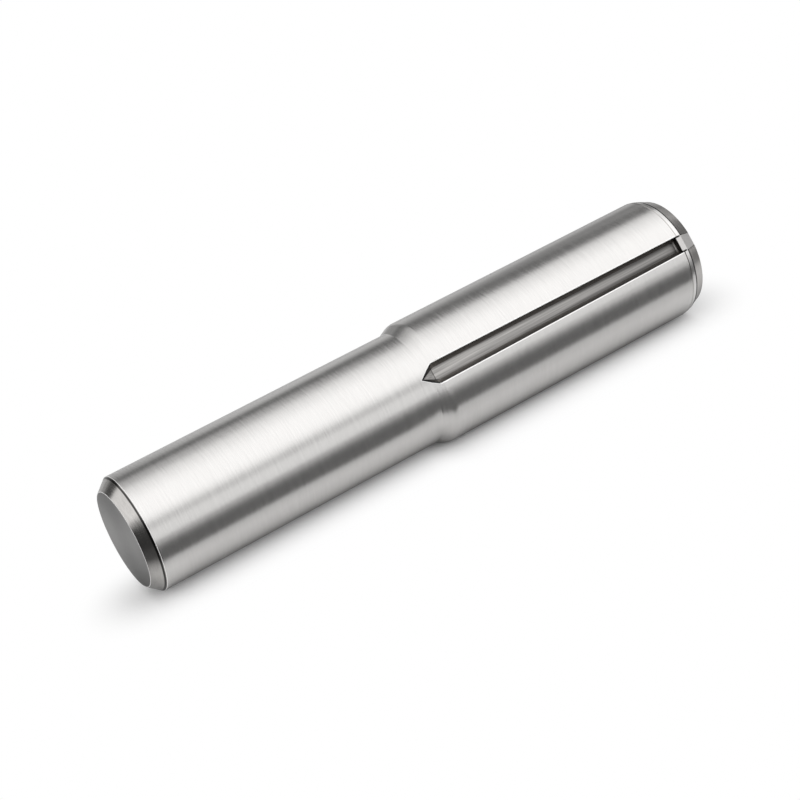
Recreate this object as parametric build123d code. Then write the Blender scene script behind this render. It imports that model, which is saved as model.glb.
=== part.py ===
from build123d import *
import math
import os

# Grooved pin: one solid steel pin with a plain half and a thicker grooved half.
# Millimetres. +X runs along the axis from the plain face to the grooved face, and
# +Z is up. The pin lies on the two edges of its lowest groove. The origin is the
# middle of the box around the pin, on the ground.

# Both halves
PLAIN_DIAMETER = 10.0
GROOVED_EXTRA_DIAMETER = 1.0
LENGTH = 55.0

# Shoulder: from the plain cylinder a short cone climbs to the grooved one
SHOULDER_FOOT_X = 27.1
SHOULDER_ANGLE = 26.0
SHOULDER_FOOT_RADIUS = 0.4
SHOULDER_HEAD_RADIUS = 1.2

# Plain end: one chamfer
PLAIN_CHAMFER_LENGTH = 1.0
PLAIN_CHAMFER_HEIGHT = 0.85
EDGE_RADIUS = 0.06

# Grooved end: a turned line, a narrow sloping band and a flat chamfer
END_LINE_WIDTH = 0.1
END_LINE_DEPTH = 0.05
BAND_LENGTH = 0.42
BAND_DROP = 0.085
END_CHAMFER_LENGTH = 1.03
END_CHAMFER_HEIGHT = 0.415

# Grooves: a flat floor between steep flanks, both widest near the shoulder
GROOVE_COUNT = 3
FIRST_GROOVE_ANGLE = 60.0
GROOVE_DEPTH = 0.8
GROOVE_START_WIDTH = 1.84
GROOVE_END_WIDTH = 1.53
FLOOR_START_WIDTH = 1.10
FLOOR_END_WIDTH = 0.90
GROOVE_TIP_X = 26.4
GROOVE_TIP_LENGTH = 1.28
GROOVE_END_GAP = 0.05
GROOVE_END_RADIUS = 0.18

# Run-out: each groove carries on over the band and chamfer as a shallow flat
RUNOUT_DEPTH = 0.12
RUNOUT_FACE_DEPTH = 0.05

# How far a cutter reaches past the surface that it cuts
CUT_MARGIN = 0.6

# Sizes that follow
PLAIN_RADIUS = PLAIN_DIAMETER / 2
GROOVED_RADIUS = (PLAIN_DIAMETER + GROOVED_EXTRA_DIAMETER) / 2
SHOULDER_SLOPE = math.tan(math.radians(SHOULDER_ANGLE))
SHOULDER_HEAD_X = SHOULDER_FOOT_X + (GROOVED_RADIUS - PLAIN_RADIUS) / SHOULDER_SLOPE
SHOULDER_HEAD_REACH = SHOULDER_HEAD_RADIUS * math.tan(math.radians(SHOULDER_ANGLE) / 2)
END_CHAMFER_X = LENGTH - END_CHAMFER_LENGTH
END_LINE_X = END_CHAMFER_X - BAND_LENGTH
BAND_END_RADIUS = GROOVED_RADIUS - BAND_DROP
END_FACE_RADIUS = BAND_END_RADIUS - END_CHAMFER_HEIGHT
GROOVE_START_X = GROOVE_TIP_X + GROOVE_TIP_LENGTH
GROOVE_END_X = END_LINE_X - END_LINE_WIDTH - GROOVE_END_GAP
REST_HEIGHT = math.sqrt(GROOVED_RADIUS**2 - (GROOVE_END_WIDTH / 2) ** 2)


def near(face, point):
    """The corner of a flat face that lies on a point given as (x, radius)."""
    target = Vector(point[0], 0, point[1])
    return min(face.vertices(), key=lambda corner: (Vector(*corner) - target).length)


def half_section():
    """The half section of the turned pin, above the axis, in the XZ plane."""
    plain_edge = (PLAIN_CHAMFER_LENGTH, PLAIN_RADIUS)
    shoulder_foot = (SHOULDER_FOOT_X, PLAIN_RADIUS)
    shoulder_head = (SHOULDER_HEAD_X, GROOVED_RADIUS)
    face_edge = (0, PLAIN_RADIUS - PLAIN_CHAMFER_HEIGHT)
    outline = [
        (0, 0),
        face_edge,
        plain_edge,
        shoulder_foot,
        shoulder_head,
        (END_LINE_X - END_LINE_WIDTH, GROOVED_RADIUS),
        (END_LINE_X - END_LINE_WIDTH / 2, GROOVED_RADIUS - END_LINE_DEPTH),
        (END_LINE_X, GROOVED_RADIUS),
        (END_CHAMFER_X, BAND_END_RADIUS),
        (LENGTH, END_FACE_RADIUS),
        (LENGTH, 0),
    ]
    section = make_face(Polyline([(x, 0, radius) for x, radius in outline], close=True))
    section = fillet(near(section, shoulder_foot), SHOULDER_FOOT_RADIUS)
    section = fillet(near(section, shoulder_head), SHOULDER_HEAD_RADIUS)
    section = fillet(near(section, plain_edge), EDGE_RADIUS)
    return fillet(near(section, face_edge), EDGE_RADIUS)


def surface_radius(x):
    """The pin's radius at x, along the plain cylinder, the shoulder's cone and the grooved one."""
    climb = max((x - SHOULDER_FOOT_X) * SHOULDER_SLOPE, 0)
    return min(PLAIN_RADIUS + climb, GROOVED_RADIUS)


def tapered(start, end, x):
    """A size at x that changes evenly along the groove, from where its floor starts to its end."""
    share = (x - GROOVE_START_X) / (GROOVE_END_X - GROOVE_START_X)
    return start + share * (end - start)


def groove_section(x):
    """The groove's outline across the pin at x, with its flanks carried on above the surface."""
    floor = GROOVED_RADIUS - GROOVE_DEPTH
    top = GROOVED_RADIUS + CUT_MARGIN
    half_width = tapered(GROOVE_START_WIDTH, GROOVE_END_WIDTH, x) / 2
    half_floor = tapered(FLOOR_START_WIDTH, FLOOR_END_WIDTH, x) / 2
    opening = math.sqrt(surface_radius(x) ** 2 - half_width**2)
    flank_slope = (half_width - half_floor) / (opening - floor)
    half_top = half_floor + flank_slope * (top - floor)
    corners = [(-half_floor, floor), (half_floor, floor), (half_top, top), (-half_top, top)]
    return make_face(Polyline([(x, y, z) for y, z in corners], close=True))


def groove_tool():
    """What is cut away along one groove that faces +Z, from its point to its end wall."""
    cone_end_x = SHOULDER_HEAD_X - SHOULDER_HEAD_REACH * math.cos(math.radians(SHOULDER_ANGLE))
    shoulder_end_x = SHOULDER_HEAD_X + SHOULDER_HEAD_REACH
    bends = [x for x in (cone_end_x, shoulder_end_x) if GROOVE_START_X < x < GROOVE_END_X]
    sections = [groove_section(x) for x in (GROOVE_START_X, *bends, GROOVE_END_X)]
    channel = loft(sections, ruled=True)
    end_edge = channel.edges().filter_by(Axis.Y).sort_by(Axis.X)[-2:].sort_by(Axis.Z)[0]
    channel = fillet(end_edge, GROOVE_END_RADIUS)
    tip = Vertex(GROOVE_TIP_X, 0, PLAIN_RADIUS)
    point = loft([tip, sections[0]], ruled=True)
    return channel + point


def runout_tool():
    """What is cut away beyond the end wall of one groove, between the lines of its flanks."""
    outline = [
        (GROOVE_END_X, GROOVED_RADIUS - RUNOUT_DEPTH),
        (END_CHAMFER_X, BAND_END_RADIUS - RUNOUT_DEPTH),
        (LENGTH, END_FACE_RADIUS - RUNOUT_FACE_DEPTH),
        (LENGTH, GROOVED_RADIUS + CUT_MARGIN),
        (GROOVE_END_X, GROOVED_RADIUS + CUT_MARGIN),
    ]
    side = make_face(Polyline([(x, 0, z) for x, z in outline], close=True))
    flats = extrude(side, GROOVE_START_WIDTH, dir=(0, 1, 0), both=True)
    end = groove_section(GROOVE_END_X)
    return flats & extrude(end, LENGTH - GROOVE_END_X, dir=(1, 0, 0))


def grooved_pin():
    """The pin on the ground, with its grooves spaced evenly and one of them down."""
    pin = revolve(half_section(), Axis.X)
    tool = groove_tool() + runout_tool()
    for index in range(GROOVE_COUNT):
        turn = FIRST_GROOVE_ANGLE + index * 360 / GROOVE_COUNT
        pin = pin - Rot(turn, 0, 0) * tool
    return Pos(-LENGTH / 2, 0, REST_HEIGHT) * pin


os.makedirs("parts", exist_ok=True)
export_step(grooved_pin(), "parts/grooved_pin.step")
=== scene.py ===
"""A grooved pin of ground steel, lying on a white floor in soft studio light.

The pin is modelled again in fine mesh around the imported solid, with the same form: a plain half,
a shoulder, and a thicker half with three pointed grooves. Its finishes are procedural. All sizes
of the pin are in millimetres from its plain face and its axis, and the finished mesh is brought to
metres and to its place on the ground.
"""
import logging
import math
from collections.abc import Callable, Sequence
from dataclasses import dataclass
from enum import Enum
from typing import ClassVar

import bmesh
import bpy
from mathutils import Matrix, Vector

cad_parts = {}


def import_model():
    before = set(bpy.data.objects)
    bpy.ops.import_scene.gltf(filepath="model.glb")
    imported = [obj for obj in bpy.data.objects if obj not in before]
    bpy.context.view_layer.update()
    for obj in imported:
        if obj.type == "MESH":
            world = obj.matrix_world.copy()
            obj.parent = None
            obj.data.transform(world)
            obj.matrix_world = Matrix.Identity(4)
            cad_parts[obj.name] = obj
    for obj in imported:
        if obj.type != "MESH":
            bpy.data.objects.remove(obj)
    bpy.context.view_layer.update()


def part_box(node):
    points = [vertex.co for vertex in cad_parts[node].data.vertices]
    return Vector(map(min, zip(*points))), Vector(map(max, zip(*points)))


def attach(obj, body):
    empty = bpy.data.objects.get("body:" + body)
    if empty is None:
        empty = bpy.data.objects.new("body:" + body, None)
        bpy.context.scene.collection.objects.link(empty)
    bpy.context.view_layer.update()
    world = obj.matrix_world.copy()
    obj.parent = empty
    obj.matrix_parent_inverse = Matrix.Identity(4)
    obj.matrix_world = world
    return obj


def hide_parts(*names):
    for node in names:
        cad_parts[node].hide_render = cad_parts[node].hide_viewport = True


LOG = logging.getLogger("grooved_pin")
NODE = "grooved_pin"
BODY = "root"
# Metres in a millimetre, how near two places are that count as one, and what noise gives on average
MM = 0.001
NEAR = 1e-4
NOISE_MIDDLE = 0.5


class Pick(Enum):
    """What a selection takes on a mesh."""

    POINTS = "VERT"
    EDGES = "EDGE"
    FACES = "FACE"


class Part(Enum):
    """The kinds of surface on the pin, in the order of its material slots."""

    GROUND = 0
    CHAMFER = 1
    BAND = 2
    FACED = 3
    FLANK = 4
    FLOOR = 5
    LAND = 6
    EDGE = 7
    LINE = 8


@dataclass(frozen=True)
class PinSizes:
    """The driving sizes of the pin, in millimetres and degrees."""

    # Both halves
    plain_diameter: float = 10.0
    grooved_extra_diameter: float = 1.0
    length: float = 55.0
    # Shoulder: from the plain cylinder a short cone climbs to the grooved one
    shoulder_foot_x: float = 27.1
    shoulder_angle: float = 26.0
    shoulder_foot_radius: float = 0.4
    shoulder_head_radius: float = 1.2
    # Plain end: one chamfer
    plain_chamfer_length: float = 1.0
    plain_chamfer_height: float = 0.85
    edge_radius: float = 0.06
    # Grooved end: a turned line, a narrow sloping band and a flat chamfer, with a soft corner between
    end_line_width: float = 0.1
    end_line_depth: float = 0.05
    band_length: float = 0.42
    band_drop: float = 0.085
    band_edge_radius: float = 0.8
    end_chamfer_length: float = 1.03
    end_chamfer_height: float = 0.415
    # Grooves: a flat floor between steep flanks, both widest near the shoulder
    groove_count: int = 3
    first_groove_angle: float = 60.0
    groove_depth: float = 0.8
    groove_start_width: float = 1.84
    groove_end_width: float = 1.53
    floor_start_width: float = 1.10
    floor_end_width: float = 0.90
    groove_tip_x: float = 26.4
    groove_tip_length: float = 1.28
    groove_end_gap: float = 0.05
    groove_end_radius: float = 0.18
    # Run-out: each groove carries on over the band and chamfer as a shallow flat. Its cutter starts
    # inside the groove, at a share of the groove's width
    runout_depth: float = 0.12
    runout_face_depth: float = 0.05
    runout_overlap: float = 0.3
    runout_overlap_share: float = 0.5
    # Lips: the broken edges along each groove, painted near white as a highlight
    lip_width: float = 0.04
    lip_depth: float = 0.025
    # How far a cutter reaches past the surface that it cuts
    cut_margin: float = 0.6

    @property
    def plain_radius(self) -> float:
        """Radius of the plain half."""
        return self.plain_diameter / 2

    @property
    def grooved_radius(self) -> float:
        """Radius of the grooved half."""
        return (self.plain_diameter + self.grooved_extra_diameter) / 2

    @property
    def shoulder_slope(self) -> float:
        """How much the shoulder's radius grows for each millimetre along the pin."""
        return math.tan(math.radians(self.shoulder_angle))

    @property
    def shoulder_head_x(self) -> float:
        """Where the shoulder's cone meets the grooved half."""
        return self.shoulder_foot_x + (self.grooved_radius - self.plain_radius) / self.shoulder_slope

    @property
    def shoulder_head_reach(self) -> float:
        """How far the rounding of the shoulder's head reaches to each side."""
        return self.shoulder_head_radius * math.tan(math.radians(self.shoulder_angle) / 2)

    @property
    def end_chamfer_x(self) -> float:
        """Where the end chamfer starts."""
        return self.length - self.end_chamfer_length

    @property
    def end_line_x(self) -> float:
        """Where the turned line ends and the band starts."""
        return self.end_chamfer_x - self.band_length

    @property
    def band_end_radius(self) -> float:
        """Radius at the band's outer end."""
        return self.grooved_radius - self.band_drop

    @property
    def end_face_radius(self) -> float:
        """Radius of the grooved face."""
        return self.band_end_radius - self.end_chamfer_height

    @property
    def groove_end_x(self) -> float:
        """Where each groove's end wall stands."""
        return self.end_line_x - self.end_line_width - self.groove_end_gap

    @property
    def groove_start_x(self) -> float:
        """Where each groove's ramp reaches its floor."""
        return self.groove_tip_x + self.groove_tip_length

    @property
    def groove_floor(self) -> float:
        """Height of a groove's floor above the axis."""
        return self.grooved_radius - self.groove_depth

    @property
    def cutter_top(self) -> float:
        """Height above the axis up to which a cutter reaches."""
        return self.grooved_radius + self.cut_margin

    def surface_radius(self, x: float) -> float:
        """The pin's radius at x, along the plain cylinder, the shoulder's cone and the grooved one."""
        climb = max((x - self.shoulder_foot_x) * self.shoulder_slope, 0)
        return min(self.plain_radius + climb, self.grooved_radius)

    def tapered(self, start: float, end: float, x: float) -> float:
        """A size at x that changes evenly along a groove, from where its floor starts to its end."""
        share = (x - self.groove_start_x) / (self.groove_end_x - self.groove_start_x)
        return start + share * (end - start)

    def half_opening(self, x: float) -> float:
        """Half the width of a groove at x, where it meets the surface."""
        return self.tapered(self.groove_start_width, self.groove_end_width, x) / 2

    def half_floor(self, x: float) -> float:
        """Half the width of a groove's floor at x."""
        return self.tapered(self.floor_start_width, self.floor_end_width, x) / 2

    def groove_turn(self, index: int) -> float:
        """How far one groove is turned about the axis from facing up, in radians."""
        return math.radians(self.first_groove_angle + index * 360 / self.groove_count)


@dataclass(frozen=True)
class Ring:
    """One ring of the turned outline, how it is rounded, and what surface follows it."""

    x: float
    radius: float
    rounding: float = 0.0
    edge: Part | None = None
    after: Part = Part.GROUND

    @property
    def corner(self) -> Vector:
        """The corner that it makes in the outline."""
        return Vector((self.x, self.radius))


@dataclass(frozen=True)
class Stretch:
    """A straight or round stretch of the turned outline, with the sine of its slope at both ends."""

    start: Vector
    end: Vector
    start_slope: float
    end_slope: float

    @property
    def is_round(self) -> bool:
        """Whether its slope changes."""
        return abs(self.end_slope - self.start_slope) > NEAR

    def at(self, x: float) -> tuple[float, float]:
        """Works out the outline at one place along the pin.

        Args:
            x: The place. Outside the stretch, its nearest end counts.

        Returns:
            The outline's radius and the sine of its slope.
        """
        share = (min(max(x, self.start.x), self.end.x) - self.start.x) / (self.end.x - self.start.x)
        slope = self.start_slope + share * (self.end_slope - self.start_slope)
        if not self.is_round:
            return self.start.y + share * (self.end.y - self.start.y), slope
        bend = (self.end.x - self.start.x) / (self.end_slope - self.start_slope)
        rise = math.sqrt(1 - self.start_slope**2) - math.sqrt(1 - slope**2)
        return self.start.y + bend * rise, slope

    def carries(self, corners: Sequence[Vector], gap: float) -> bool:
        """Tells whether a face lies on this stretch of the turned surface.

        Args:
            corners: The face's corners.
            gap: How far off the surface they may lie.

        Returns:
            Whether it does.
        """
        middle_x = sum(place.x for place in corners) / len(corners)
        within = self.start.x - NEAR < middle_x < self.end.x + NEAR
        return within and all(abs(place.yz.length - self.at(place.x)[0]) < gap for place in corners)

    def normal(self, place: Vector) -> Vector:
        """Works out which way the turned surface faces.

        Args:
            place: A place on the surface.

        Returns:
            Its outward normal.
        """
        slope = self.at(place.x)[1]
        around = Vector((0, place.y, place.z)).normalized() * math.sqrt(1 - slope**2)
        return Vector((-slope, 0, 0)) + around


@dataclass(frozen=True)
class Section:
    """A cutter's outline across the pin: heights from the bottom up, each with half its width."""

    x: float
    levels: tuple[tuple[float, float], ...]


class Workpiece:
    """One mesh that is shaped with edit-mode operators, in millimetres."""

    round_profile: ClassVar[float] = 0.5

    def __init__(self, name: str, finishes: Sequence[bpy.types.Material]) -> None:
        """Takes the primitive that was just added.

        Args:
            name: The object's name.
            finishes: A material for each kind of surface.
        """
        self.shape = bpy.context.active_object
        self.shape.name = name
        bpy.ops.object.transform_apply(location=True, rotation=True, scale=True)
        for finish in finishes:
            self.shape.data.materials.append(finish)
        bpy.ops.object.mode_set(mode="EDIT")

    def select(self, kind: Pick, test: Callable[[Vector], bool]) -> None:
        """Selects what has all its corners where a test holds.

        Args:
            kind: Points, edges or faces.
            test: Takes a corner's place and says whether it is wanted.
        """
        mesh = self._start_selection(kind)
        items = {Pick.POINTS: mesh.verts, Pick.EDGES: mesh.edges, Pick.FACES: mesh.faces}[kind]
        for item in items:
            corners = [item] if kind is Pick.POINTS else item.verts
            if all(test(corner.co) for corner in corners):
                item.select_set(True)
        bmesh.update_edit_mesh(self.shape.data)

    def select_all(self) -> None:
        """Selects the whole mesh."""
        self.select(Pick.FACES, lambda p: True)

    def _start_selection(self, kind: Pick) -> bmesh.types.BMesh:
        """Deselects everything.

        Args:
            kind: What the new selection is going to take.

        Returns:
            The mesh that is being edited.
        """
        bpy.context.tool_settings.mesh_select_mode = [kind is one for one in Pick]
        bpy.ops.mesh.select_all(action="DESELECT")
        return bmesh.from_edit_mesh(self.shape.data)

    def extrude(self, shift: Vector) -> None:
        """Pulls the selected faces out by a distance."""
        bpy.ops.mesh.extrude_region_move(TRANSFORM_OT_translate={"value": shift})

    def resize(self, factors: Sequence[float], centre: Vector) -> None:
        """Scales what is selected about a point."""
        bpy.ops.transform.resize(value=factors, center_override=centre)

    def move(self, shift: Vector) -> None:
        """Moves what is selected."""
        bpy.ops.transform.translate(value=shift)

    def bevel(self, width: float, steps: int, part: Part | None = None) -> None:
        """Rounds the selected edges.

        Args:
            width: How far the rounding reaches on each side of the edge.
            steps: How many facets it gets.
            part: The kind of surface that it becomes, or none to keep that of its neighbours.
        """
        slot = -1 if part is None else part.value
        bpy.ops.mesh.bevel(offset_type="OFFSET", offset=width, segments=steps, affect="EDGES",
                           profile=self.round_profile, material=slot)

    def paint(self, part: Part) -> None:
        """Gives the selected faces the material slot of a kind of surface.

        Args:
            part: The kind of surface.
        """
        mesh = bmesh.from_edit_mesh(self.shape.data)
        for face in mesh.faces:
            if face.select:
                face.material_index = part.value
        bmesh.update_edit_mesh(self.shape.data)

    def finish(self) -> bpy.types.Object:
        """Leaves edit mode and returns the object."""
        bpy.ops.object.mode_set(mode="OBJECT")
        return self.shape


@dataclass(frozen=True)
class PinMesh:
    """Models the pin's fine mesh: turned first, then grooved, then shaded as it was turned.

    The turned surfaces have some facets all round, and each rounding has some steps. A face counts
    as turned where its corners lie on the turned surface, to a small distance in millimetres.
    """

    sizes: PinSizes
    finishes: Sequence[bpy.types.Material]
    facets: int = 512
    round_steps: int = 8
    on_surface: float = 0.002

    def build(self) -> bpy.types.Object:
        """Models the pin with its plain face at x = 0 and its axis on X, in millimetres.

        Returns:
            The finished mesh object.
        """
        pin = self._turned()
        for cutter in (self._channel, self._runout):
            self._cut(pin, self._around(cutter))
        return pin

    def _rings(self) -> list[Ring]:
        """Lists the rings of the turned outline.

        Returns:
            The rings, from the plain face to the grooved one.
        """
        s = self.sizes
        line_middle = s.end_line_x - s.end_line_width / 2
        return [
            # The plain end's edge roundings, like the lips, are painted near white as a highlight
            Ring(0, s.plain_radius - s.plain_chamfer_height, s.edge_radius, Part.EDGE, Part.CHAMFER),
            Ring(s.plain_chamfer_length, s.plain_radius, s.edge_radius, Part.EDGE),
            Ring(s.shoulder_foot_x, s.plain_radius, s.shoulder_foot_radius),
            Ring(s.shoulder_head_x, s.grooved_radius, s.shoulder_head_radius),
            Ring(s.end_line_x - s.end_line_width, s.grooved_radius, after=Part.CHAMFER),
            Ring(line_middle, s.grooved_radius - s.end_line_depth, after=Part.CHAMFER),
            Ring(s.end_line_x, s.grooved_radius, after=Part.BAND),
            # The soft corner between the band and the end chamfer is painted dark, as a shade line
            Ring(s.end_chamfer_x, s.band_end_radius, s.band_edge_radius, Part.LINE, Part.CHAMFER),
            Ring(s.length, s.end_face_radius, after=Part.FACED),
        ]

    def _stretches(self) -> list[Stretch]:
        """Lists the straight and round stretches of the turned outline.

        Returns:
            The stretches from the plain face to the grooved one, without the two faces.
        """
        rings = self._rings()
        corners = [Vector((0, 0)), *(ring.corner for ring in rings), Vector((self.sizes.length, 0))]
        stretches = []
        last = corners[0]
        for before, ring, after in zip(corners, rings, corners[2:]):
            here = ring.corner
            coming, going = (here - before).normalized(), (after - here).normalized()
            reach = ring.rounding * math.tan(coming.angle(going) / 2)
            arc_start, arc_end = here - coming * reach, here + going * reach
            if coming.x > NEAR:
                stretches.append(Stretch(last, arc_start, coming.y, coming.y))
            if ring.rounding:
                stretches.append(Stretch(arc_start, arc_end, coming.y, going.y))
            last = arc_end
        return stretches

    def _turned(self) -> bpy.types.Object:
        """Turns the pin: a first disc, pulled out ring by ring, and its rings rounded.

        Returns:
            The pin without its grooves.
        """
        rings = self._rings()
        first, second = rings[0], rings[1]
        bpy.ops.object.select_all(action="DESELECT")
        bpy.ops.mesh.primitive_cylinder_add(
            vertices=self.facets, radius=first.radius, depth=second.x, end_fill_type="NGON",
            rotation=(0, math.pi / 2, 0), location=(second.x / 2, 0, 0))
        piece = Workpiece("pin", self.finishes)
        piece.select(Pick.FACES, lambda p: p.x > second.x - NEAR)
        widening = second.radius / first.radius
        piece.resize((1, widening, widening), Vector((second.x, 0, 0)))
        for last, ring in zip(rings[1:], rings[2:]):
            ratio = ring.radius / last.radius
            piece.extrude(Vector((ring.x - last.x, 0, 0)))
            piece.resize((1, ratio, ratio), Vector((ring.x, 0, 0)))
        self._paint_turned(piece, rings)
        rounded = [ring for ring in rings if ring.rounding]
        arcs = [stretch for stretch in self._stretches() if stretch.is_round]
        for ring, arc in zip(rounded, arcs):
            piece.select(Pick.EDGES, lambda p, x=ring.x: abs(p.x - x) < NEAR)
            piece.bevel((ring.corner - arc.start).length, self.round_steps, ring.edge)
        return piece.finish()

    def _paint_turned(self, piece: Workpiece, rings: Sequence[Ring]) -> None:
        """Gives each stretch between two rings, and both end faces, its kind of surface.

        Args:
            piece: The turned pin, before its rings are rounded.
            rings: Its rings.
        """
        for ring, following in zip(rings, rings[1:]):
            low, high = ring.x - NEAR, following.x + NEAR
            piece.select(Pick.FACES, lambda p, low=low, high=high: low < p.x < high)
            piece.paint(ring.after)
        for face_x in (rings[0].x, rings[-1].x):
            piece.select(Pick.FACES, lambda p, x=face_x: abs(p.x - x) < NEAR)
            piece.paint(Part.FACED)

    def _half_width(self, x: float, height: float) -> float:
        """Works out half the width between a groove's flanks.

        Args:
            x: The place along the pin.
            height: The height above the axis.

        Returns:
            Half the width there.
        """
        s = self.sizes
        opening = math.sqrt(s.surface_radius(x) ** 2 - s.half_opening(x) ** 2)
        slope = (s.half_opening(x) - s.half_floor(x)) / (opening - s.groove_floor)
        return s.half_floor(x) + slope * (height - s.groove_floor)

    def _groove_section(self, x: float) -> Section:
        """Works out the groove's outline: its floor, its flanks, and the broken lips where it opens.

        Args:
            x: The place along the pin.

        Returns:
            The outline there.
        """
        s = self.sizes
        half_width = s.half_opening(x)
        radius = s.surface_radius(x)
        lip_start = math.sqrt(radius**2 - half_width**2) - s.lip_depth
        half_start = self._half_width(x, lip_start)
        lip_end = math.sqrt(radius**2 - (half_width + s.lip_width) ** 2)
        spread = (half_width + s.lip_width - half_start) / (lip_end - lip_start)
        half_top = half_start + spread * (s.cutter_top - lip_start)
        return Section(x, ((s.groove_floor, s.half_floor(x)), (lip_start, half_start),
                           (s.cutter_top, half_top)))

    def _bar(self, name: str, sections: Sequence[Section], bottom: Part) -> Workpiece:
        """Models a bar that passes through some sections, in the order of their places on X.

        It starts as a cube with its levels at even heights, and its points are placed last.

        Args:
            name: The object's name.
            sections: The outlines that it passes through, each with as many levels.
            bottom: The kind of surface that its underside cuts.

        Returns:
            The bar, which is still being shaped.
        """
        first, second = sections[0], sections[1]
        half_size = (second.x - first.x) / 2
        steps = len(first.levels) - 1
        heights = [2 * index / steps - 1 for index in range(steps + 1)]
        bpy.ops.object.select_all(action="DESELECT")
        bpy.ops.mesh.primitive_cube_add(size=2, location=(first.x + half_size, 0, 0))
        bpy.context.active_object.scale = (half_size, 1, 1)
        bar = Workpiece(name, self.finishes)
        for height in heights[1:-1]:
            bar.select_all()
            bpy.ops.mesh.bisect(plane_co=(0, 0, height), plane_no=(0, 0, 1))
        for last, section in zip(sections[1:], sections[2:]):
            bar.select(Pick.FACES, lambda p, x=last.x: p.x > x - NEAR)
            bar.extrude(Vector((section.x - last.x, 0, 0)))
        self._paint_bar(bar, heights, sections[-1].x, bottom)
        for section in sections:
            for side, (height, half) in zip(heights, section.levels):
                bar.select(Pick.POINTS,
                           lambda p, x=section.x, z=side: abs(p.x - x) < NEAR and abs(p.z - z) < NEAR)
                bar.resize((1, half, 1), Vector((section.x, 0, side)))
                bar.move(Vector((0, 0, height - side)))
        return bar

    def _paint_bar(self, bar: Workpiece, heights: Sequence[float], end_x: float, bottom: Part) -> None:
        """Gives a bar's faces the kinds of surface that they cut, before its points are placed.

        In a bar of more than two levels, what lies above the second one cuts the lips, whose faces are
        painted as a highlight.

        Args:
            bar: The bar.
            heights: The heights of its levels, from the bottom up.
            end_x: Where it ends.
            bottom: The kind of surface that its underside cuts.
        """
        bar.select_all()
        bar.paint(Part.FLANK)
        bar.select(Pick.FACES, lambda p: p.z < heights[0] + NEAR)
        bar.paint(bottom)
        if len(heights) > 2:
            bar.select(Pick.FACES, lambda p: p.z > heights[1] - NEAR)
            bar.paint(Part.EDGE)
        bar.select(Pick.FACES, lambda p: p.x > end_x - NEAR)
        bar.paint(Part.FLANK)

    def _channel(self) -> bpy.types.Object:
        """Models what is cut away along one groove that faces up, from its point to its end wall.

        Returns:
            The cutter.
        """
        s = self.sizes
        reach = s.shoulder_head_reach
        bends = (s.shoulder_head_x - reach * math.cos(math.radians(s.shoulder_angle)),
                 s.shoulder_head_x + reach)
        sections = [self._groove_section(x) for x in (s.groove_start_x, *bends, s.groove_end_x)]
        bar = self._bar("channel", sections, Part.FLOOR)
        bar.select(Pick.FACES, lambda p: p.x < s.groove_start_x + NEAR)
        bar.extrude(Vector((-s.groove_tip_length, 0, 0)))
        tip = Vector((s.groove_tip_x, 0, s.plain_radius))
        bar.resize((0, 0, 0), tip)
        bar.select_all()
        bpy.ops.mesh.remove_doubles(threshold=NEAR)
        bar.select(Pick.EDGES, lambda p: p.x > s.groove_end_x - NEAR and p.z < s.groove_floor + NEAR)
        bar.bevel(s.groove_end_radius, self.round_steps)
        return self._outward(bar)

    def _runout(self) -> bpy.types.Object:
        """Models what is cut away beyond one groove's end wall, over the band and the chamfer.

        It starts inside the groove, narrower than it, so that their sides don't meet there.

        Returns:
            The cutter.
        """
        s = self.sizes
        chamfer_z = s.band_end_radius - s.runout_depth
        band_fall = s.band_drop / (s.end_chamfer_x - s.groove_end_x)
        chamfer_fall = (chamfer_z - s.end_face_radius + s.runout_face_depth) / s.end_chamfer_length
        before, beyond = s.groove_end_x - s.runout_overlap, s.length + s.cut_margin
        places = [
            (before, chamfer_z + band_fall * (s.end_chamfer_x - before), s.runout_overlap_share),
            (s.groove_end_x, chamfer_z + band_fall * (s.end_chamfer_x - s.groove_end_x), 1.0),
            (s.end_chamfer_x, chamfer_z, 1.0),
            (beyond, chamfer_z - chamfer_fall * (beyond - s.end_chamfer_x), 1.0),
        ]
        sections = [Section(x, tuple((height, share * self._half_width(s.groove_end_x, height))
                                     for height in (bottom, s.cutter_top)))
                    for x, bottom, share in places]
        return self._outward(self._bar("runout", sections, Part.LAND))

    def _outward(self, bar: Workpiece) -> bpy.types.Object:
        """Turns a cutter's faces outwards.

        Args:
            bar: The cutter, as it is shaped.

        Returns:
            The finished cutter.
        """
        bar.select_all()
        bpy.ops.mesh.normals_make_consistent(inside=False)
        return bar.finish()

    def _around(self, cutter: Callable[[], bpy.types.Object]) -> bpy.types.Object:
        """Models a cutter once for each groove, turned to its place.

        Args:
            cutter: Models it for a groove that faces up.

        Returns:
            The cutters, joined.
        """
        copies = []
        for index in range(self.sizes.groove_count):
            copy = cutter()
            copy.rotation_euler = (self.sizes.groove_turn(index), 0, 0)
            bpy.ops.object.transform_apply(location=True, rotation=True, scale=True)
            copies.append(copy)
        for copy in copies:
            copy.select_set(True)
        bpy.ops.object.join()
        return bpy.context.active_object

    def _cut(self, pin: bpy.types.Object, cutters: bpy.types.Object) -> None:
        """Takes the cutters away from the pin and deletes them.

        Args:
            pin: The pin.
            cutters: The joined cutters.
        """
        cut = pin.modifiers.new("grooves", "BOOLEAN")
        cut.operation = "DIFFERENCE"
        cut.solver = "EXACT"
        cut.material_mode = "INDEX"
        cut.object = cutters
        bpy.context.view_layer.objects.active = pin
        bpy.ops.object.modifier_apply(modifier=cut.name)
        bpy.data.objects.remove(cutters)

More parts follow.
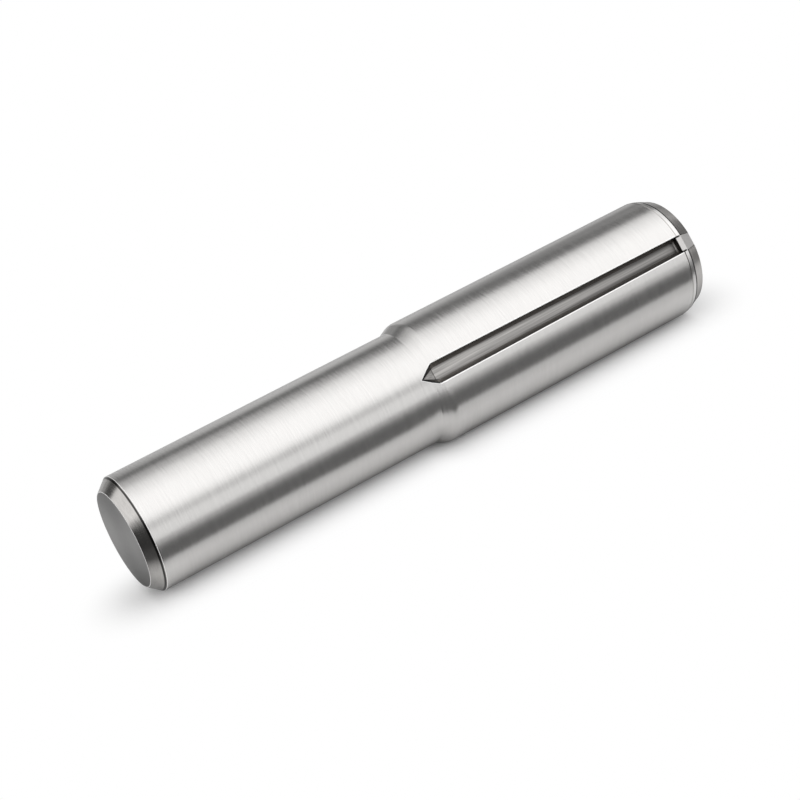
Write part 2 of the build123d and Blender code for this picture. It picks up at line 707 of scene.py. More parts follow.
    def shade(self, pin: bpy.types.Object, origin: Vector) -> None:
        """Gives the turned surfaces the normals of the true turned form, and leaves the others.

        Args:
            pin: The pin, in metres and in its place.
            origin: Where the middle of its plain face lies, in millimetres.
        """
        mesh = pin.data
        stretches = self._stretches()
        places = [vertex.co / MM - origin for vertex in mesh.vertices]
        normals = [Vector(corner.vector) for corner in mesh.corner_normals]
        for face in mesh.polygons:
            corners = [places[index] for index in face.vertices]
            stretch = next((one for one in stretches if one.carries(corners, self.on_surface)), None)
            if stretch:
                for loop, place in zip(face.loop_indices, corners):
                    normals[loop] = stretch.normal(place)
        mesh.normals_split_custom_set(normals)


class Value:
    """A number or a vector in a shader, on which Python's operators add Math nodes."""

    def __init__(self, shader: "Shader", socket: bpy.types.NodeSocket) -> None:
        """Wraps an output socket of a shader's node."""
        self.shader = shader
        self.socket = socket

    def _math(self, operation: str, *inputs: "Value | float") -> "Value":
        """Adds a Math node and returns its result."""
        made = self.shader.node("ShaderNodeMath", {"operation": operation}, dict(enumerate(inputs)))
        return Value(self.shader, made.outputs[0])

    def __add__(self, other: "Value | float") -> "Value":
        """This value and another one, added."""
        return self._math("ADD", self, other)

    __radd__ = __add__

    def __sub__(self, other: "Value | float") -> "Value":
        """This value less another one."""
        return self._math("SUBTRACT", self, other)

    def __rsub__(self, other: "Value | float") -> "Value":
        """Another value less this one."""
        return self._math("SUBTRACT", other, self)

    def __mul__(self, other: "Value | float") -> "Value":
        """This value times another one."""
        return self._math("MULTIPLY", self, other)

    __rmul__ = __mul__

    def __truediv__(self, other: "Value | float") -> "Value":
        """This value divided by another one."""
        return self._math("DIVIDE", self, other)

    def __abs__(self) -> "Value":
        """This value without its sign."""
        return self._math("ABSOLUTE", self)

    def __pow__(self, other: "Value | float") -> "Value":
        """This value to some power."""
        return self._math("POWER", self, other)

    def larger(self, other: "Value | float") -> "Value":
        """The larger of this value and another one."""
        return self._math("MAXIMUM", self, other)

    def smaller(self, other: "Value | float") -> "Value":
        """The smaller of this value and another one."""
        return self._math("MINIMUM", self, other)

    def above(self, other: "Value | float") -> "Value":
        """One where this value is above another one, and zero elsewhere."""
        return self._math("GREATER_THAN", self, other)

    def rise(self, low: float, high: float) -> "Value":
        """Makes a smooth step.

        Args:
            low: This value where the step starts.
            high: This value where it ends.

        Returns:
            Zero up to the start, and one from the end.
        """
        made = self.shader.node(
            "ShaderNodeMapRange", {"interpolation_type": "SMOOTHSTEP"},
            {"Value": self, "From Min": low, "From Max": high, "To Min": 0.0, "To Max": 1.0})
        return Value(self.shader, made.outputs["Result"])

    def between(self, low: float, high: float, feather: float) -> "Value":
        """Makes a window with soft ends.

        Args:
            low: This value where the window starts.
            high: This value where it ends.
            feather: Half the length of each soft end.

        Returns:
            One inside the window, and zero outside.
        """
        start = self.rise(low - feather, low + feather)
        stop = self.rise(high - feather, high + feather)
        return start * (1 - stop)

    def _vector_math(self, operation: str, other: Sequence[float], output: str) -> "Value":
        """Adds a Vector Math node.

        Args:
            operation: What it does.
            other: The second vector.
            output: Which of its outputs is wanted.

        Returns:
            Its result.
        """
        made = self.shader.node("ShaderNodeVectorMath", {"operation": operation},
                                {0: self, 1: tuple(other)})
        return Value(self.shader, made.outputs[output])

    def dot(self, direction: Vector) -> "Value":
        """The length of this vector along a direction."""
        return self._vector_math("DOT_PRODUCT", direction, "Value")

    def stretched(self, factors: Sequence[float]) -> "Value":
        """This vector with each of its parts multiplied by a factor."""
        return self._vector_math("MULTIPLY", factors, "Vector")

    def shifted(self, shift: Sequence[float]) -> "Value":
        """This vector with another one added."""
        return self._vector_math("ADD", shift, "Vector")


Sockets = dict[str | int, "Value | bpy.types.Node | float | Sequence[float]"]


class Shader:
    """The node tree of one material, or of the world."""

    def __init__(self, tree: bpy.types.NodeTree) -> None:
        """Takes a node tree and empties it."""
        self.tree = tree
        tree.nodes.clear()

    @classmethod
    def material(cls, name: str) -> tuple[bpy.types.Material, "Shader"]:
        """Adds a material.

        Args:
            name: The material's name.

        Returns:
            The material and its shader.
        """
        made = bpy.data.materials.new(name)
        made.use_nodes = True
        return made, cls(made.node_tree)

    def node(self, kind: str, settings: dict[str, str] | None = None,
             sockets: Sockets | None = None) -> bpy.types.Node:
        """Adds a node.

        Args:
            kind: The node's type.
            settings: Its own settings, which are set first.
            sockets: What each input gets, by name or number: a value, a link or a shader node.

        Returns:
            The node.
        """
        made = self.tree.nodes.new(kind)
        for name, setting in (settings or {}).items():
            setattr(made, name, setting)
        for name, given in (sockets or {}).items():
            if isinstance(given, Value):
                self.tree.links.new(given.socket, made.inputs[name])
            elif isinstance(given, bpy.types.Node):
                self.tree.links.new(given.outputs[0], made.inputs[name])
            else:
                made.inputs[name].default_value = given
        return made

    def place(self) -> Value:
        """The place on the object, in millimetres."""
        made = self.node("ShaderNodeTexCoord")
        return Value(self, made.outputs["Object"]).stretched((1 / MM,) * 3)

    def parts(self, vector: Value) -> tuple[Value, Value, Value]:
        """The three parts of a vector."""
        made = self.node("ShaderNodeSeparateXYZ", None, {0: vector})
        return tuple(Value(self, output) for output in made.outputs)

    def noise(self, place: Value, detail: float = 1.0, breakup: float = 0.5) -> Value:
        """Adds noise with a grain of about one unit.

        Args:
            place: Where it is taken.
            detail: How many finer grains are laid over the first.
            breakup: How strong each finer grain is, as a share of the one before.

        Returns:
            The noise, from zero to one.
        """
        made = self.node("ShaderNodeTexNoise", {"noise_dimensions": "3D"},
                         {"Vector": place, "Scale": 1.0, "Detail": detail, "Roughness": breakup})
        return Value(self, made.outputs["Fac"])

    def mix(self, share: Value | float, first: Sequence[float] | Value,
            second: Sequence[float] | Value) -> Value:
        """A colour between two others."""
        made = self.node("ShaderNodeMix", {"data_type": "RGBA"}, {0: share, 6: first, 7: second})
        return Value(self, made.outputs[2])

    def light_path(self, kind: str) -> Value:
        """One for rays of some kind, such as Is Camera Ray, and zero for the others."""
        return Value(self, self.node("ShaderNodeLightPath").outputs[kind])

    def finish(self, surface: bpy.types.Node, world: bool = False) -> None:
        """Links the last node to the output."""
        kind = "ShaderNodeOutputWorld" if world else "ShaderNodeOutputMaterial"
        self.node(kind, None, {"Surface": surface})


def colour(level: float, warmth: float = 0.0) -> tuple[float, float, float, float]:
    """A grey with a little warmth.

    Args:
        level: The grey, from zero to one.
        warmth: The share by which red is above it, and blue below it.

    Returns:
        Red, green, blue and alpha.
    """
    return (level * (1 + warmth), level, level * (1 - warmth), 1.0)


class Spot:
    """The shaded point's place on the pin and beside its nearest groove, in millimetres."""

    def __init__(self, shader: Shader, sizes: PinSizes, origin: Vector) -> None:
        """Works out where the point lies.

        Its height is measured from the axis towards the middle of the nearest groove, and across
        is its distance to the side from there. Its side is the share of its radius that is on Y.

        Args:
            shader: The shader that uses it.
            sizes: The pin's sizes.
            origin: Where the middle of the plain face lies.
        """
        self.sizes = sizes
        self.place = shader.place().shifted(-origin)
        self.x, y, z = shader.parts(self.place)
        squared = y * y + z * z
        self.radius = squared**0.5
        self.side = y / self.radius
        self.height = self._towards(0)
        for index in range(1, sizes.groove_count):
            self.height = self.height.larger(self._towards(index))
        self.across = (squared - self.height * self.height).larger(0) ** 0.5

    def _towards(self, index: int) -> Value:
        """How far the point lies from the axis in the direction of one groove."""
        turn = self.sizes.groove_turn(index)
        return self.place.dot(Vector((0, -math.sin(turn), math.cos(turn))))

    @property
    def depth(self) -> Value:
        """Works out how deep the point lies under the turned surface.

        Returns:
            The depth.
        """
        s = self.sizes
        climb = ((self.x - s.shoulder_foot_x) * s.shoulder_slope).larger(0)
        return (climb + s.plain_radius).smaller(s.grooved_radius) - self.radius

    @property
    def beside(self) -> Value:
        """Works out how far the point lies outside its groove's outline.

        Returns:
            The distance, below zero inside the groove.
        """
        s = self.sizes
        half_start, half_end = s.groove_start_width / 2, s.groove_end_width / 2
        past_start = self.x - s.groove_start_x
        narrowing = (half_end - half_start) / (s.groove_end_x - s.groove_start_x)
        point = past_start * (half_start / s.groove_tip_length)
        return self.across - (point.smaller(past_start * narrowing) + half_start)


@dataclass(frozen=True)
class Steel:
    """One finish of the steel: how light and how smooth it is, the marks that the work left, and its painted
    light and shade.

    The marks are long and fine, with finer ones between them, patches that are hardly seen, and
    slow waves that only bend what the steel mirrors. Grains are how many a millimetre holds on X,
    Y and Z, and heights are in millimetres.
    """

    name: str
    level: float
    warmth: float
    roughness: float
    roughness_spread: float
    mark_grain: tuple[float, float, float]
    mark_contrast: float
    mark_height: float
    metal: float = 1.0
    edge_tint: float = 1.0
    wave_grain: tuple[float, float, float] = (2.5, 0.3, 0.3)
    wave_share: float = 4.0
    mark_detail: ClassVar[float] = 3.0
    mark_breakup: ClassVar[float] = 0.6
    mark_share: ClassVar[float] = 1.2
    fine_ratio: ClassVar[float] = 3.1
    fine_share: ClassVar[float] = 0.5
    fine_height_share: ClassVar[float] = 0.3
    patch_grain: ClassVar[tuple[float, float, float]] = (0.12, 0.35, 0.35)
    patch_detail: ClassVar[float] = 2.0
    patch_contrast: ClassVar[float] = 0.03
    # A painted highlight's grey, and how much less metallic it makes the steel
    highlight_level: ClassVar[float] = 0.9
    highlight_metal_loss: ClassVar[float] = 0.65

    def material(self, sizes: PinSizes, origin: Vector) -> bpy.types.Material:
        """Makes the material.

        Args:
            sizes: The pin's sizes.
            origin: Where the middle of its plain face lies, in millimetres.

        Returns:
            The material.
        """
        made, shader = Shader.material(self.name)
        spot = Spot(shader, sizes, origin)
        fine_grain = tuple(self.fine_ratio * grain for grain in self.mark_grain)
        marks = shader.noise(spot.place.stretched(self.mark_grain), self.mark_detail, self.mark_breakup)
        fine = shader.noise(spot.place.stretched(fine_grain))
        patches = shader.noise(spot.place.stretched(self.patch_grain), self.patch_detail)
        marked = (marks - NOISE_MIDDLE) * self.mark_share + (fine - NOISE_MIDDLE) * self.fine_share
        shade = marked * self.mark_contrast + (patches - NOISE_MIDDLE) * self.patch_contrast + 1.0
        # Painted light and shade scale the grey, and a painted highlight turns it near white and less
        # metallic
        grey = shader.mix(shade * self.painted_light_and_shade(spot) * self.level, colour(0.0), colour(1.0, self.warmth))
        highlight = self.painted_highlight(spot)
        roughness = (marks - NOISE_MIDDLE) * self.roughness_spread + self.roughness
        waves = shader.noise(spot.place.stretched(self.wave_grain))
        bump = shader.node("ShaderNodeBump", None, {
            "Strength": 1.0, "Distance": self.mark_height * MM,
            "Height": marks + fine * self.fine_height_share + waves * self.wave_share})
        surface = shader.node("ShaderNodeBsdfPrincipled", None, {
            "Base Color": shader.mix(highlight, grey, colour(self.highlight_level)),
            "Metallic": highlight * -self.highlight_metal_loss + self.metal, "Roughness": roughness,
            "Specular Tint": colour(self.edge_tint), "Normal": bump})
        shader.finish(surface)
        return made

    def painted_light_and_shade(self, spot: Spot) -> Value | float:
        """How painted light and shade lighten or darken the steel at a spot, as a share of its level."""
        return 1.0

    def painted_highlight(self, spot: Spot) -> Value | float:
        """One where a highlight is painted on the steel, and zero elsewhere."""
        return 0.0


class GroundSteel(Steel):
    """The ground cylinders, with a painted highlight in a fine line around each groove, and painted shade in
    a dark line at its point.

    Both lines are given by how far outside the groove's outline they start and end. The painted
    shade fades out just past the end of the ramp.
    """

    highlight_line: ClassVar[tuple[float, float]] = (-0.05, 0.09)
    highlight_feather: ClassVar[float] = 0.02
    point_shade_line: ClassVar[tuple[float, float]] = (-0.1, 0.045)
    point_shade_feather: ClassVar[float] = 0.015
    point_shade_fade: ClassVar[tuple[float, float]] = (-0.05, 0.1)
    point_shade_depth: ClassVar[float] = 0.93

    def _point_shade(self, spot: Spot) -> Value:
        """Marks the painted shade line around the point of each groove.

        Args:
            spot: The shaded point.

        Returns:
            One in the line, and zero elsewhere.
        """
        along = 1 - (spot.x - spot.sizes.groove_start_x).rise(*self.point_shade_fade)
        line = spot.beside.between(*self.point_shade_line, self.point_shade_feather)
        return line * along * spot.height.above(0)

    def painted_light_and_shade(self, spot: Spot) -> Value:
        """Painted shade around the point of each groove, and even elsewhere."""
        return 1 - self._point_shade(spot) * self.point_shade_depth

    def painted_highlight(self, spot: Spot) -> Value:
        """One along the painted highlight outside each groove's outline, and zero elsewhere."""
        line = spot.beside.between(*self.highlight_line, self.highlight_feather) * spot.height.above(0)
        return line * (1 - self._point_shade(spot))


class FlankSteel(Steel):
    """The flanks and end walls of the grooves, with painted shade: black under the rim and lighter at the
    foot.
    """

    rim_depth: ClassVar[tuple[float, float]] = (0.08, 0.18)
    rim_shade_level: ClassVar[float] = 0.1
    foot_height: ClassVar[float] = 0.45
    foot_lightening: ClassVar[float] = 0.9
    wall: ClassVar[tuple[float, float]] = (-0.06, -0.01)
    end_wall_shade: ClassVar[float] = 0.7

    def painted_light_and_shade(self, spot: Spot) -> Value:
        """Paints shade: the rim and the end wall darkest, and the foot of the flanks lighter.

        Args:
            spot: The shaded point.

        Returns:
            How light the steel is.
        """
        s = spot.sizes
        under_rim = spot.depth.rise(*self.rim_depth)
        foot = 1 - (spot.height - s.groove_floor).rise(0, self.foot_height)
        wall = (spot.x - s.groove_end_x).rise(*self.wall)
        return (under_rim * (foot * self.foot_lightening + 1.0) + self.rim_shade_level) * (
            1 - wall * self.end_wall_shade)


class FloorSteel(Steel):
    """The floors and ramps of the grooves, with painted light and shade.

    The floor is lightest along its middle, in a band that narrows away from the ramp, and painted
    shade darkens its sides and its far part. The ramp is painted a little darker, with painted shade
    along its sides and where it ends.
    """

    middle_half_width: ClassVar[float] = 0.30
    side_margin: ClassVar[float] = 0.02
    side_shade_depth: ClassVar[float] = 0.58
    far_start: ClassVar[float] = 2.0
    far_narrowing: ClassVar[float] = 0.20
    far_shade_depth: ClassVar[float] = 0.36
    ramp_end: ClassVar[tuple[float, float]] = (-0.05, 0.0)
    ramp_shade_level: ClassVar[float] = 0.75
    ramp_side: ClassVar[tuple[float, float]] = (0.03, 0.13)
    ramp_side_shade_level: ClassVar[float] = 0.07
    crease: ClassVar[tuple[float, float]] = (-0.09, -0.01)
    crease_feather: ClassVar[float] = 0.02
    crease_shade_depth: ClassVar[float] = 0.6

    def painted_light_and_shade(self, spot: Spot) -> Value:
        """Puts the painted light and shade of the floor and the ramp together.

        Args:
            spot: The shaded point.

        Returns:
            How light the steel is.
        """
        s = spot.sizes
        past_ramp = spot.x - s.groove_start_x
        far = spot.x.rise(s.groove_start_x + self.far_start, s.groove_end_x)
        sides = (spot.across + far * self.far_narrowing).rise(
            self.middle_half_width, s.floor_start_width / 2 + self.side_margin)
        floor = (1 - sides * self.side_shade_depth) * (1 - far * self.far_shade_depth)
        ramp = past_ramp.rise(*self.ramp_end) * (1 - self.ramp_shade_level) + self.ramp_shade_level
        half_ramp = (spot.x - s.groove_tip_x) * (s.floor_start_width / 2 / s.groove_tip_length)
        ramp_sides = (half_ramp - spot.across).rise(*self.ramp_side)
        ramp = ramp * (ramp_sides * (1 - self.ramp_side_shade_level) + self.ramp_side_shade_level)
        crease = past_ramp.between(*self.crease, self.crease_feather)
        return floor * ramp * (1 - crease * self.crease_shade_depth)


class FacedSteel(Steel):
    """The faced ends, with a painted reflection of the two fans of light that fine turning gives, and a
    painted highlight on the rim.
    """

    fan_tone: ClassVar[float] = 0.55
    upright_tone: ClassVar[float] = 0.72
    fan_start: ClassVar[tuple[float, float]] = (0.2, 3.0)
    rim_width: ClassVar[float] = 0.10
    rim_highlight: ClassVar[float] = 0.6

    def painted_light_and_shade(self, spot: Spot) -> Value:
        """Paints the fans of reflected light: the face lighter to both sides and darker above and below,
        away from its middle.

        Args:
            spot: The shaded point.

        Returns:
            How light the steel is.
        """
        fan = spot.side * spot.side * self.fan_tone + self.upright_tone
        away = spot.radius.rise(*self.fan_start)
        return away * fan + (1 - away)

    def painted_highlight(self, spot: Spot) -> Value:
        """Marks a painted highlight along the plain face's rim.

        Args:
            spot: The shaded point.

        Returns:
            Part of a full painted highlight in the line, and zero elsewhere.
        """
        s = spot.sizes
        rim = s.plain_radius - s.plain_chamfer_height
        on_plain_face = 1 - spot.x.above(s.plain_chamfer_length)
        return spot.radius.rise(rim - self.rim_width, rim) * on_plain_face * self.rim_highlight


class LandSteel(Steel):
    """The run-outs, with a painted shade line under their sides, up to the end chamfer."""

    line: ClassVar[tuple[float, float]] = (-0.19, -0.12)
    line_stop: ClassVar[float] = 0.1
    shade_line_depth: ClassVar[float] = 0.92

    def painted_light_and_shade(self, spot: Spot) -> Value:
        """Paints the shade lines dark.

        Args:
            spot: The shaded point.

        Returns:
            How light the steel is.
        """
        s = spot.sizes
        line = (spot.across - s.groove_end_width / 2).rise(*self.line)
        before_chamfer = 1 - spot.x.above(s.end_chamfer_x - self.line_stop)
        return 1 - line * before_chamfer * self.shade_line_depth


class ChamferSteel(Steel):
    """The chamfers and the sides of the turned line, with a painted shade line close to the plain cylinder.
    """

    line: ClassVar[tuple[float, float]] = (-0.18, -0.05)
    line_feather: ClassVar[float] = 0.02
    shade_line_depth: ClassVar[float] = 0.88

    def painted_light_and_shade(self, spot: Spot) -> Value:
        """Painted shade in a fine line, and even elsewhere."""
        before_cylinder = spot.x - spot.sizes.plain_chamfer_length
        return 1 - before_cylinder.between(*self.line, self.line_feather) * self.shade_line_depth


def steels() -> dict[Part, Steel]:
    """Lists the finish of each kind of surface.

    Returns:
        The finishes, each with its kind of surface.
    """
    return {
        Part.GROUND: GroundSteel(
            "ground_steel", level=0.655, warmth=0.017, roughness=0.21, roughness_spread=0.14,
            mark_grain=(7.3, 0.31, 0.29), mark_contrast=0.15, mark_height=0.0010,
            wave_grain=(6.0, 0.9, 0.9), wave_share=8.0),
        Part.CHAMFER: ChamferSteel(
            "chamfer_steel", level=0.50, warmth=0.030, roughness=0.17, roughness_spread=0.10,
            mark_grain=(9.0, 1.1, 1.3), mark_contrast=0.30, mark_height=0.0006),
        Part.BAND: Steel(
            "band_steel", level=0.73, warmth=0.015, roughness=0.20, roughness_spread=0.10,
            mark_grain=(24.0, 0.3, 0.3), mark_contrast=0.12, mark_height=0.0006),
        Part.FACED: FacedSteel(
            "faced_steel", level=0.21, warmth=0.015, roughness=0.40, roughness_spread=0.12,
            mark_grain=(1.0, 3.0, 3.0), mark_contrast=0.16, mark_height=0.0008),
        # The flanks' dark grey is partly their own rough finish and partly painted shade
        Part.FLANK: FlankSteel(
            "groove_flank", level=0.21, warmth=0.05, roughness=0.40, roughness_spread=0.10,
            mark_grain=(0.25, 8.0, 8.0), mark_contrast=0.40, mark_height=0.0010, edge_tint=0.3),
        Part.FLOOR: FloorSteel(
            "groove_floor", level=0.40, warmth=0.03, roughness=0.38, roughness_spread=0.16,
            mark_grain=(0.10, 6.5, 6.5), mark_contrast=1.50, mark_height=0.0020),
        Part.LAND: LandSteel(
            "land_steel", level=0.70, warmth=0.02, roughness=0.30, roughness_spread=0.10,
            mark_grain=(9.0, 2.0, 2.0), mark_contrast=0.10, mark_height=0.0006),
        # The lips and edge roundings: painted near white and less metallic, as a highlight
        Part.EDGE: Steel(
            "edge_highlight", level=0.90, warmth=0.01, roughness=0.35, roughness_spread=0.10,
            mark_grain=(6.0, 0.5, 0.5), mark_contrast=0.08, mark_height=0.0004, metal=0.35),
        # The soft corner between band and end chamfer: a dark line of painted shade
        Part.LINE: Steel(
            "painted_shade_line", level=0.10, warmth=0.01, roughness=0.40, roughness_spread=0.10,
            mark_grain=(6.0, 0.5, 0.5), mark_contrast=0.08, mark_height=0.0004, edge_tint=0.3),
    }


@dataclass(frozen=True)
class Floor:
    """The white floor under the pin. Its places are in millimetres, and its side is in metres.

    The camera sees it glow plain white, with the pin's shadow near it. For the metal's mirrored rays
    alone it is painted with other tones, as if cards lay there: a lit strip under and beside the pin,
    a lit part behind the pin, and a dark card in front. Each pair of places is where a change starts
    and where it ends.
    """

    side: float = 1.2
    level: float = 0.97
    # The camera sees the floor glow plain white past the pin's shadow, which fades out at some distance from
    # the axis, a little nearer beside the plain half
    shadow_fade: tuple[float, float] = (0.7, 7.3)
    plain_half_end: tuple[float, float] = (-1.5, 1.5)
    plain_half_narrowing: float = 1.2
    # The lit strip's ends on X, and its front edge, which draws in before the shoulder and steps
    # out past it
    strip_start: tuple[float, float] = (-35.5, -28.5)
    strip_end: tuple[float, float] = (40.0, 52.0)
    strip_front: tuple[float, float] = (-11.4, -8.9)
    draw_in: tuple[float, float] = (-14.0, -4.0)
    draw_in_reach: float = 0.6
    step_out: tuple[float, float] = (-0.5, 3.5)
    step_out_reach: float = 1.31
    # Where the lit part behind the pin starts on Y, and how much less it is lit past the strip's end
    behind: tuple[float, float] = (2.0, 9.0)
    behind_end_dimming: float = 0.5
    # How light the lit parts are: near the pin, far behind it, and at the strip's front
    near_level: float = 0.86
    behind_level: float = 0.58
    behind_fade: tuple[float, float] = (10.0, 24.0)
    front_share: float = 0.80
    front_fade: tuple[float, float] = (-9.5, -6.0)
    # A painted shade line under the pin, which only the metal mirrors, deeper and wider under the grooved
    # half
    contact_fade: tuple[float, float] = (1.0, 4.9)
    contact_shade_depth: float = 0.42
    contact_step_shade_depth: float = 0.18
    contact_step_width: float = 0.3
    # How light the dark card is, to its left and far in front, and how much lighter it is past the
    # strip's end. Its left edge slants where the front starts
    card_level: float = 0.145
    left_level: float = 0.05
    front_level: float = 0.50
    end_lightening: float = 0.16
    card_front: tuple[float, float] = (-60.0, -18.0)
    card_left: tuple[float, float] = (-60.0, -15.0)
    card_left_slant: float = 0.5
    # A painted lighter patch on the card, far away in front and to the left
    patch_lightening: float = 0.9
    patch_front: tuple[float, float] = (-160.0, -50.0)
    patch_side: tuple[float, float] = (-60.0, -15.0)

    def build(self) -> None:
        """Lays the floor down as the stage."""
        bpy.ops.object.select_all(action="DESELECT")
        bpy.ops.mesh.primitive_plane_add(size=self.side)
        floor = bpy.context.active_object
        floor.name = "floor"
        floor.data.materials.append(self._material())

    def _material(self) -> bpy.types.Material:
        """Makes the floor's material.

        Returns:
            The material.
        """
        made, shader = Shader.material("white_floor")
        x, y, _ = shader.parts(shader.place())
        # Only mirrored rays see the painted pattern; the other rays see the even floor
        lit = self._lit(x, y)
        mirrored = lit * self._lit_level(x, y) + (1 - lit) * self._card_level(x, y)
        glossy = shader.light_path("Is Glossy Ray")
        level = glossy * mirrored + (1 - glossy) * self.level
        paper = shader.node("ShaderNodeBsdfDiffuse", None, {
            "Color": shader.mix(level, colour(0.0), colour(1.0))})
        glow = shader.node("ShaderNodeEmission", None, {"Color": colour(1.0), "Strength": 1.0})
        white = self._past_shadow(x, y) * shader.light_path("Is Camera Ray")
        shader.finish(shader.node("ShaderNodeMixShader", None, {0: white, 1: paper, 2: glow}))
        return made

    def _past_shadow(self, x: Value, y: Value) -> Value:
        """Works out where the camera sees the floor glow plain white.

        Args:
            x: The place on X.
            y: The place on Y.

        Returns:
            Zero in the shadow, and one past it.
        """
        pin_low, pin_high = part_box(NODE)
        past_end = (abs(x) - (pin_high.x - pin_low.x) / 2 / MM).larger(0)
        beside_plain_half = 1 - x.rise(*self.plain_half_end)
        gap = (past_end * past_end + y * y) ** 0.5 + beside_plain_half * self.plain_half_narrowing
        return gap.rise(*self.shadow_fade)

    def _lit(self, x: Value, y: Value) -> Value:
        """Works out where the floor is painted as lit, as the metal mirrors it.

        Args:
            x: The place on X.
            y: The place on Y.

        Returns:
            One on the strip and behind the pin, and zero on the dark card.
        """
        past_strip = x.rise(*self.strip_end)
        shift = x.rise(*self.draw_in) * self.draw_in_reach - x.rise(*self.step_out) * self.step_out_reach
        front = (y - shift).rise(*self.strip_front)
        strip = x.rise(*self.strip_start) * (1 - past_strip) * front
        return strip.larger(y.rise(*self.behind) * (1 - past_strip * self.behind_end_dimming))

    def _lit_level(self, x: Value, y: Value) -> Value:
        """Works out how light the painted lit parts are, with the painted shade line under the pin.

        Args:
            x: The place on X.
            y: The place on Y.

        Returns:
            The level.
        """
        level = y.rise(*self.behind_fade) * (self.behind_level - self.near_level) + self.near_level
        level = level * (y.rise(*self.front_fade) * (1 - self.front_share) + self.front_share)
        step = x.rise(*self.step_out)
        depth = step * self.contact_step_shade_depth + self.contact_shade_depth
        away = (abs(y) - step * self.contact_step_width).rise(*self.contact_fade)
        return level * (1 - depth * (1 - away))

    def _card_level(self, x: Value, y: Value) -> Value:
        """Works out how light the dark card is, with what lies around it.

        Args:
            x: The place on X.
            y: The place on Y.

        Returns:
            The level.
        """
        front = (1 - y.rise(*self.card_front)) * (self.front_level - self.card_level)
        patch = (1 - y.rise(*self.patch_front)) * (1 - x.rise(*self.patch_side)) * self.patch_lightening
        past_front = (y - self.card_front[0]).smaller(0)
        on_card = (x - past_front * self.card_left_slant).rise(*self.card_left)
        card = (front + patch + self.card_level - self.left_level) * on_card
        return card + x.rise(*self.strip_end) * self.end_lightening + self.left_level


@dataclass(frozen=True)
class Panel:
    """A soft panel around the pin, far away: it lightens or darkens what the metal mirrors.

    Its plane faces the pin from an azimuth and an elevation. Its sides and ends are given as shares
    of the distance to that plane, to the right and upwards.
    """

    name: str
    azimuth: float
    elevation: float
    sides: tuple[float, float]
    ends: tuple[float, float]
    feather: float
    level: float

    def mask(self, direction: Value) -> Value:
        """Works out which directions meet the panel.

        Args:
            direction: The direction that is shaded.

        Returns:
            One for those that meet it, and zero for the others.
        """
        turn, tilt = math.radians(self.azimuth), math.radians(self.elevation)
        towards = Vector((math.sin(turn) * math.cos(tilt), -math.cos(turn) * math.cos(tilt), math.sin(tilt)))
        right = Vector((math.cos(turn), math.sin(turn), 0))
        up = towards.cross(right)
        ahead = direction.dot(towards)
        across = direction.dot(right) / ahead.larger(NEAR)
        above = direction.dot(up) / ahead.larger(NEAR)
        inside = across.between(*self.sides, self.feather) * above.between(*self.ends, self.feather)
        return inside * ahead.above(NEAR)


@dataclass(frozen=True)
class Surround:
    """The white surround. The metal mirrors its panels, and the camera sees plain white."""

    level: float = 1.0

    def panels(self) -> list[Panel]:
        """Lists the panels, by name, azimuth, elevation, sides, ends, feather and level.

        Returns:
            The panels, each laid over the ones before it.
        """
        return [
            Panel("overhead haze", 0, 90, (-0.5, 1.1), (0.50, 6.0), 0.25, 0.57),
            Panel("back wall", 180, 0, (-6.0, 6.0), (-2.0, 1.1), 0.15, 0.62),
            Panel("back flag", 180, 0, (-6.0, 6.0), (0.14, 1.0), 0.28, 0.19),
            Panel("back right haze", 142, 0, (-0.15, 0.15), (0.35, 0.95), 0.12, 0.34),
            Panel("back reflector", 160, 0, (-0.10, 0.12), (-0.4, 0.44), 0.16, 0.68),
            Panel("back middle flag", 180, 0, (-0.20, 0.22), (-0.2, 0.50), 0.06, 0.34),
            Panel("back left flag", -148, 0, (-0.22, 0.5), (0.05, 1.1), 0.10, 0.10),
            Panel("back right wall", 105, 0, (-0.30, 0.40), (-0.6, 0.42), 0.10, 0.43),
            Panel("back right low wall", 130, 0, (-0.20, 0.16), (-0.6, 0.14), 0.06, 0.43),
            Panel("left dim wall", -90, 0, (-1.2, 1.3), (-0.2, 0.80), 0.15, 0.55),
            Panel("left flag", -90, 0, (-1.2, 1.3), (-2.0, 0.32), 0.12, 0.06),
            Panel("right flag", 90, 0, (-0.4, 0.25), (-2.0, 0.46), 0.10, 0.22),
            Panel("front gap", 0, 0, (-1.2, 1.6), (0.40, 0.66), 0.06, 0.73),
            Panel("left softbox", 0, 90, (-2.3, -0.8), (0.0, 1.55), 0.30, 1.20),
            Panel("overhead softbox", 0, 90, (-2.3, 2.0), (-1.2, 0.12), 0.40, 1.43),
            Panel("overhead flag", 0, 90, (0.53, 1.0), (0.61, 1.6), 0.14, 0.17),
        ]

    def build(self) -> None:
        """Makes the surround."""
        world = bpy.data.worlds.new("surround")
        world.use_nodes = True
        bpy.context.scene.world = world
        shader = Shader(world.node_tree)
        direction = Value(shader, shader.node("ShaderNodeTexCoord").outputs["Generated"])
        light: Value | tuple[float, ...] = colour(self.level)
        for panel in self.panels():
            light = shader.mix(panel.mask(direction), light, colour(panel.level))
            LOG.debug("the %s is at level %.2f", panel.name, panel.level)
        seen = shader.light_path("Is Camera Ray").larger(shader.light_path("Is Transmission Ray"))
        shader.finish(shader.node("ShaderNodeBackground", None, {
            "Color": shader.mix(seen, light, colour(1.0)), "Strength": 1.0}), world=True)


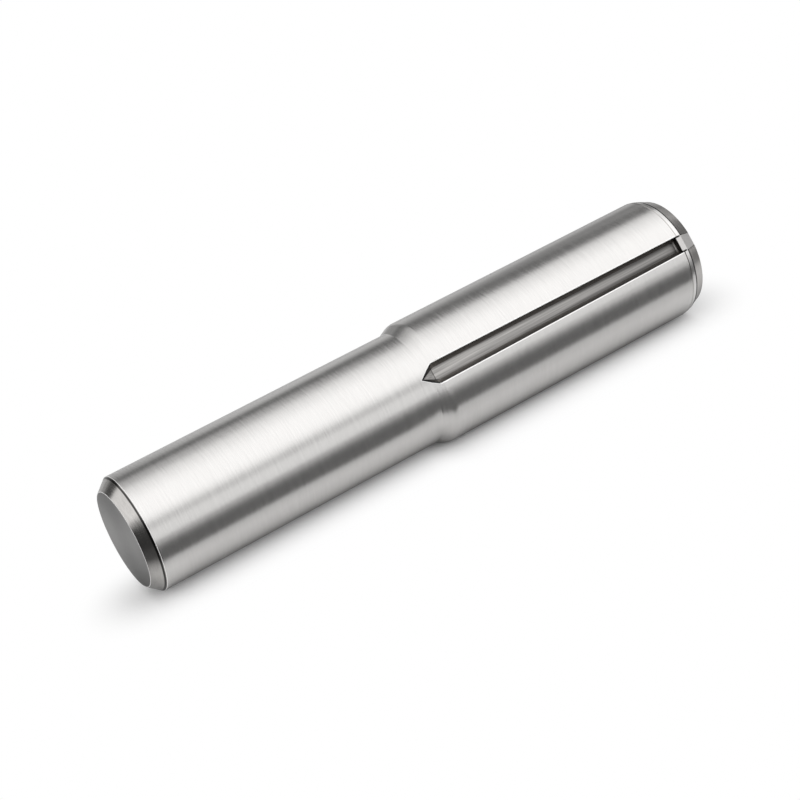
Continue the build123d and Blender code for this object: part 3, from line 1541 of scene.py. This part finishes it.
@dataclass(frozen=True)
class Viewpoint:
    """The camera, which looks down on the pin from beside its plain end.

    Its place and its lens are in millimetres, and right and back are its own directions.
    """

    place: tuple[float, float, float] = (-56.2875, -119.1108, 70.699)
    right: tuple[float, float, float] = (0.819723, -0.515291, -0.250057)
    back: tuple[float, float, float] = (-0.373627, -0.811978, 0.448435)
    lens: float = 79.3168
    reach: float = 10000.0

    def build(self) -> None:
        """Sets up the camera."""
        lens = bpy.data.cameras.new("camera")
        lens.lens = self.lens
        lens.clip_start, lens.clip_end = MM, self.reach * MM
        camera = bpy.data.objects.new("camera", lens)
        bpy.context.scene.collection.objects.link(camera)
        right, back = Vector(self.right), Vector(self.back)
        turn = Matrix((right, back.cross(right), back)).transposed().to_4x4()
        camera.matrix_world = Matrix.Translation(Vector(self.place) * MM) @ turn
        bpy.context.scene.camera = camera


@dataclass(frozen=True)
class GroovedPin:
    """The pin of the scene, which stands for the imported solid.

    Faces that meet at less than the smooth angle, in degrees, are shaded as one surface.
    """

    sizes: PinSizes
    smooth_angle: float = 8.0

    @property
    def origin(self) -> Vector:
        """Where the middle of the plain face lies, in millimetres."""
        low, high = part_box(NODE)
        return Vector((low.x / MM, 0, high.z / MM - self.sizes.grooved_radius))

    def build(self) -> bpy.types.Object:
        """Models and dresses the pin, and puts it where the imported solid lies.

        Returns:
            The finished piece.
        """
        origin = self.origin
        kinds = steels()
        finishes = [kinds[part].material(self.sizes, origin) for part in Part]
        maker = PinMesh(self.sizes, finishes)
        pin = maker.build()
        pin.location = origin * MM
        pin.scale = (MM, MM, MM)
        bpy.ops.object.select_all(action="DESELECT")
        pin.select_set(True)
        bpy.context.view_layer.objects.active = pin
        bpy.ops.object.transform_apply(location=True, rotation=True, scale=True)
        bpy.ops.object.shade_smooth_by_angle(angle=math.radians(self.smooth_angle))
        maker.shade(pin, origin)
        pin.name = "pin"
        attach(pin, BODY)
        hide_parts(NODE)
        return pin


def main() -> None:
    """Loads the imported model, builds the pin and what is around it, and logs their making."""
    logging.basicConfig(level=logging.INFO, format="%(name)s: %(message)s")
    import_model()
    pin = GroovedPin(PinSizes()).build()
    LOG.info("%s has %d faces", pin.name, len(pin.data.polygons))
    for maker in (Floor(), Surround(), Viewpoint()):
        maker.build()
        LOG.info("the %s is ready", type(maker).__name__.lower())
    scene = bpy.context.scene
    scene.view_settings.view_transform = "Standard"


if __name__ == "__main__":
    main()
